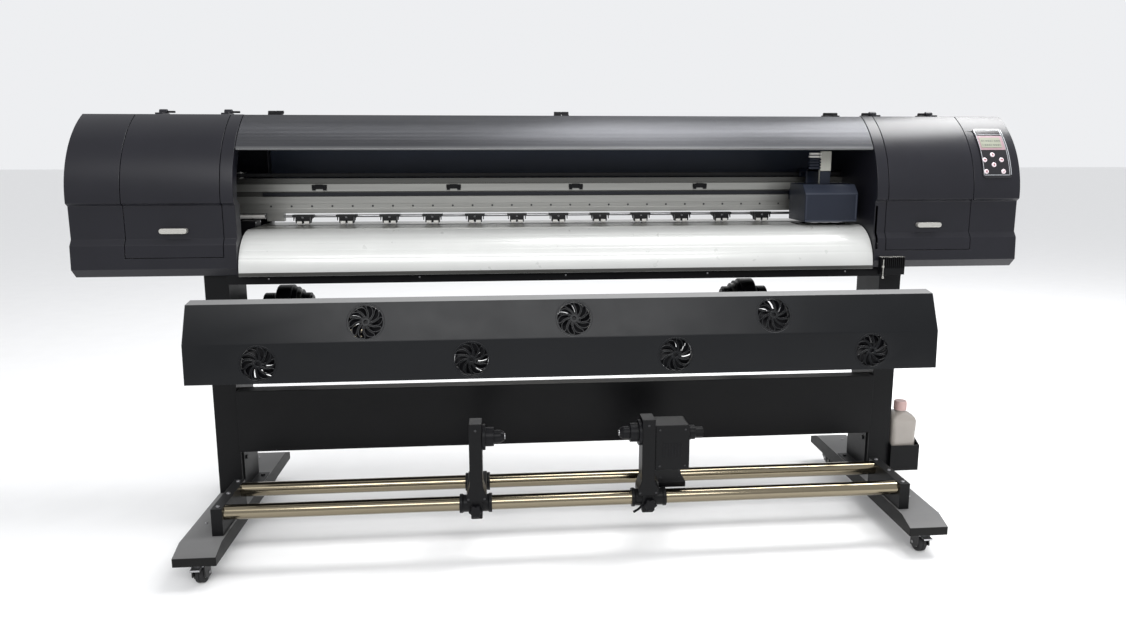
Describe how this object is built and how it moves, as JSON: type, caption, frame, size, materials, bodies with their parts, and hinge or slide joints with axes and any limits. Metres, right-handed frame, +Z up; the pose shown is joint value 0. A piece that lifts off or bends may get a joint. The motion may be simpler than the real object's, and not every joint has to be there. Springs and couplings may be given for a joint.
{
  "type": "roll printer",
  "caption": "Wide-format roll inkjet printer on a wheeled stand, with hinged covers, fan dryer hood, take-up posts and rear roll holders.",
  "frame": {"origin": "on the floor under the middle of the machine (centre of the bounding box's bottom)", "axes": "+X to the machine's right as seen from the front, along its length; +Y to the back; +Z up"},
  "size_m": [2.65, 0.682, 1.197],
  "materials": {
    "shell": "satin",
    "frame_paint": "satin",
    "cover_metal": "satin",
    "white_guide": "satin",
    "aluminium": "satin",
    "polished_tube": "polished",
    "steel": "satin",
    "black_plastic": "matte",
    "panel": "gloss",
    "display": "gloss",
    "key": "gloss",
    "rubber": "matte",
    "white_plastic": "satin",
    "navy_paint": "satin",
    "handle_metal": "satin"
  },
  "bodies": {
    "printer_frame": {"feet": "frame_paint", "legs": "frame_paint", "crossbeam": "frame_paint", "left_housing": "shell", "right_housing": "shell", "rear_cover": "shell", "hinges": "black_plastic", "chassis_rail": "frame_paint", "media_guides": "white_guide", "platen": "aluminium", "carriage_beam": "aluminium", "guide_rail": "steel", "drive_belt": "rubber", "drive_motors": "black_plastic", "capping_station": "black_plastic", "ink_tanks": "white_plastic", "dryer_hood": "frame_paint", "stand_brackets": "frame_paint", "fan_frames": "black_plastic", "support_tubes": "polished_tube", "control_panel": "panel", "bottle_tray": "frame_paint"},
    "centre_cover": {"centre_cover": "cover_metal"},
    "left_cover": {"left_cover": "shell"},
    "right_cover": {"right_cover": "shell"},
    "carriage": {"carriage": "navy_paint"},
    "motor_pulley": {"motor_pulley": "aluminium"},
    "idler_pulley": {"idler_pulley": "aluminium"},
    "feed_roller": {"feed_roller": "steel"},
    "pinch_arms": {"pinch_arms": "black_plastic"},
    "pinch_rollers": {"pinch_rollers": "white_plastic"},
    "pinch_lever": {"pinch_lever": "black_plastic"},
    "fan_1": {"fan_1": "black_plastic"},
    "fan_2": {"fan_2": "black_plastic"},
    "fan_3": {"fan_3": "black_plastic"},
    "fan_4": {"fan_4": "black_plastic"},
    "fan_5": {"fan_5": "black_plastic"},
    "fan_6": {"fan_6": "black_plastic"},
    "fan_7": {"fan_7": "black_plastic"},
    "takeup_left_post": {"takeup_left_post": "frame_paint"},
    "takeup_left_hub": {"takeup_left_hub": "black_plastic"},
    "takeup_right_post": {"takeup_right_post": "frame_paint"},
    "takeup_right_hub": {"takeup_right_hub": "black_plastic"},
    "rear_left_holder": {"rear_left_holder": "black_plastic"},
    "rear_right_holder": {"rear_right_holder": "black_plastic"},
    "fork_front_left": {"fork_front_left": "steel"},
    "fork_front_right": {"fork_front_right": "steel"},
    "fork_rear_left": {"fork_rear_left": "steel"},
    "fork_rear_right": {"fork_rear_right": "steel"},
    "wheel_front_left": {"wheel_front_left": "rubber"},
    "wheel_front_right": {"wheel_front_right": "rubber"},
    "wheel_rear_left": {"wheel_rear_left": "rubber"},
    "wheel_rear_right": {"wheel_rear_right": "rubber"},
    "waste_bottle": {"waste_bottle": "white_plastic"},
    "key_up": {"key_up": "key"},
    "key_left": {"key_left": "key"},
    "key_right": {"key_right": "key"},
    "key_down": {"key_down": "key"},
    "key_cancel": {"key_cancel": "key"},
    "key_enter": {"key_enter": "key"}
  },
  "joints": [
    {"name": "centre_cover_hinge", "type": "hinge", "parent": "printer_frame", "child": "centre_cover", "pos_m": [0, 0.14, 1.189], "axis": [-1, 0, 0], "range_deg": [0, 75]},
    {"name": "left_cover_hinge", "type": "hinge", "parent": "printer_frame", "child": "left_cover", "pos_m": [0, 0.14, 1.189], "axis": [-1, 0, 0], "range_deg": [0, 75]},
    {"name": "right_cover_hinge", "type": "hinge", "parent": "printer_frame", "child": "right_cover", "pos_m": [0, 0.14, 1.189], "axis": [-1, 0, 0], "range_deg": [0, 75]},
    {"name": "carriage_slide", "type": "slide", "parent": "printer_frame", "child": "carriage", "axis": [1, 0, 0], "range_m": [-1.58, 0]},
    {"name": "motor_pulley_spin", "type": "hinge", "parent": "printer_frame", "child": "motor_pulley", "pos_m": [0.962, 0.24, 1.007], "axis": [0, 0, 1], "range_deg": [-6081, 5]},
    {"name": "idler_pulley_spin", "type": "hinge", "parent": "printer_frame", "child": "idler_pulley", "pos_m": [-0.962, 0.24, 1.007], "axis": [0, 0, 1], "range_deg": [-6081, 5]},
    {"name": "feed_roller_spin", "type": "hinge", "parent": "printer_frame", "child": "feed_roller", "pos_m": [0, 0.185, 0.8484], "axis": [1, 0, 0], "continuous": true},
    {"name": "pinch_lever_turn", "type": "hinge", "parent": "printer_frame", "child": "pinch_lever", "pos_m": [0.901, 0.06, 0.861], "axis": [-1, 0, 0], "range_deg": [0, 54]},
    {"name": "pinch_arms_lift", "type": "hinge", "parent": "printer_frame", "child": "pinch_arms", "pos_m": [0, 0.222, 0.884], "axis": [-1, 0, 0], "range_deg": [0, 7]},
    {"name": "pinch_rollers_spin", "type": "hinge", "parent": "pinch_arms", "child": "pinch_rollers", "pos_m": [0, 0.185, 0.8685], "axis": [1, 0, 0], "continuous": true},
    {"name": "fan_1_spin", "type": "hinge", "parent": "printer_frame", "child": "fan_1", "pos_m": [-0.7725, -0.3095, 0.5705], "axis": [0, -0.9995, 0.0303], "continuous": true},
    {"name": "fan_2_spin", "type": "hinge", "parent": "printer_frame", "child": "fan_2", "pos_m": [-0.515, -0.289, 0.66575], "axis": [0, -0.9235, 0.3835], "continuous": true},
    {"name": "fan_3_spin", "type": "hinge", "parent": "printer_frame", "child": "fan_3", "pos_m": [-0.2575, -0.3095, 0.5705], "axis": [0, -0.9995, 0.0303], "continuous": true},
    {"name": "fan_4_spin", "type": "hinge", "parent": "printer_frame", "child": "fan_4", "pos_m": [0, -0.289, 0.66575], "axis": [0, -0.9235, 0.3835], "continuous": true},
    {"name": "fan_5_spin", "type": "hinge", "parent": "printer_frame", "child": "fan_5", "pos_m": [0.2575, -0.3095, 0.5705], "axis": [0, -0.9995, 0.0303], "continuous": true},
    {"name": "fan_6_spin", "type": "hinge", "parent": "printer_frame", "child": "fan_6", "pos_m": [0.515, -0.289, 0.66575], "axis": [0, -0.9235, 0.3835], "continuous": true},
    {"name": "fan_7_spin", "type": "hinge", "parent": "printer_frame", "child": "fan_7", "pos_m": [0.7725, -0.3095, 0.5705], "axis": [0, -0.9995, 0.0303], "continuous": true},
    {"name": "takeup_left_slide", "type": "slide", "parent": "printer_frame", "child": "takeup_left_post", "axis": [1, 0, 0], "range_m": [-0.55, 0.1]},
    {"name": "takeup_left_spin", "type": "hinge", "parent": "takeup_left_post", "child": "takeup_left_hub", "pos_m": [-0.21, -0.24, 0.342], "axis": [1, 0, 0], "continuous": true},
    {"name": "takeup_right_slide", "type": "slide", "parent": "printer_frame", "child": "takeup_right_post", "axis": [1, 0, 0], "range_m": [-0.1, 0.5]},
    {"name": "takeup_right_spin", "type": "hinge", "parent": "takeup_right_post", "child": "takeup_right_hub", "pos_m": [0.16, -0.24, 0.342], "axis": [1, 0, 0], "continuous": true},
    {"name": "rear_left_slide", "type": "slide", "parent": "printer_frame", "child": "rear_left_holder", "axis": [1, 0, 0], "range_m": [0, 0.5]},
    {"name": "rear_right_slide", "type": "slide", "parent": "printer_frame", "child": "rear_right_holder", "axis": [1, 0, 0], "range_m": [-0.5, 0.2]},
    {"name": "fork_front_left_swivel", "type": "hinge", "parent": "printer_frame", "child": "fork_front_left", "pos_m": [-0.9474, -0.305, 0.06], "axis": [0, 0, 1], "continuous": true},
    {"name": "wheel_front_left_roll", "type": "hinge", "parent": "fork_front_left", "child": "wheel_front_left", "pos_m": [-0.9474, -0.293, 0.025], "axis": [1, 0, 0], "continuous": true},
    {"name": "fork_front_right_swivel", "type": "hinge", "parent": "printer_frame", "child": "fork_front_right", "pos_m": [0.9474, -0.305, 0.06], "axis": [0, 0, 1], "continuous": true},
    {"name": "wheel_front_right_roll", "type": "hinge", "parent": "fork_front_right", "child": "wheel_front_right", "pos_m": [0.9474, -0.293, 0.025], "axis": [1, 0, 0], "continuous": true},
    {"name": "fork_rear_left_swivel", "type": "hinge", "parent": "printer_frame", "child": "fork_rear_left", "pos_m": [-0.9474, 0.305, 0.06], "axis": [0, 0, 1], "continuous": true},
    {"name": "wheel_rear_left_roll", "type": "hinge", "parent": "fork_rear_left", "child": "wheel_rear_left", "pos_m": [-0.9474, 0.293, 0.025], "axis": [1, 0, 0], "continuous": true},
    {"name": "fork_rear_right_swivel", "type": "hinge", "parent": "printer_frame", "child": "fork_rear_right", "pos_m": [0.9474, 0.305, 0.06], "axis": [0, 0, 1], "continuous": true},
    {"name": "wheel_rear_right_roll", "type": "hinge", "parent": "fork_rear_right", "child": "wheel_rear_right", "pos_m": [0.9474, 0.293, 0.025], "axis": [1, 0, 0], "continuous": true},
    {"name": "waste_bottle_lift", "type": "slide", "parent": "printer_frame", "child": "waste_bottle", "axis": [0, 0, 1], "range_m": [0, 0.25]},
    {"name": "key_up_press", "type": "slide", "parent": "printer_frame", "child": "key_up", "axis": [0, 0.898, -0.4399], "range_m": [0, 0.0015], "stiffness_N_per_m": 400, "springref_m": -0.0005},
    {"name": "key_left_press", "type": "slide", "parent": "printer_frame", "child": "key_left", "axis": [0, 0.9219, -0.3875], "range_m": [0, 0.0015], "stiffness_N_per_m": 400, "springref_m": -0.0005},
    {"name": "key_right_press", "type": "slide", "parent": "printer_frame", "child": "key_right", "axis": [0, 0.9219, -0.3875], "range_m": [0, 0.0015], "stiffness_N_per_m": 400, "springref_m": -0.0005},
    {"name": "key_down_press", "type": "slide", "parent": "printer_frame", "child": "key_down", "axis": [0, 0.9415, -0.3371], "range_m": [0, 0.0015], "stiffness_N_per_m": 400, "springref_m": -0.0005},
    {"name": "key_cancel_press", "type": "slide", "parent": "printer_frame", "child": "key_cancel", "axis": [0, 0.9636, -0.2672], "range_m": [0, 0.0015], "stiffness_N_per_m": 400, "springref_m": -0.0005},
    {"name": "key_enter_press", "type": "slide", "parent": "printer_frame", "child": "key_enter", "axis": [0, 0.9636, -0.2672], "range_m": [0, 0.0015], "stiffness_N_per_m": 400, "springref_m": -0.0005}
  ],
  "couplings": [
    {"joint": "motor_pulley_spin", "follows": "carriage_slide", "rad_per_m": 66.225},
    {"joint": "idler_pulley_spin", "follows": "carriage_slide", "rad_per_m": 66.225},
    {"joint": "pinch_arms_lift", "follows": "pinch_lever_turn", "ratio": 0.12963},
    {"joint": "pinch_rollers_spin", "follows": "feed_roller_spin", "ratio": -1.5}
  ]
}
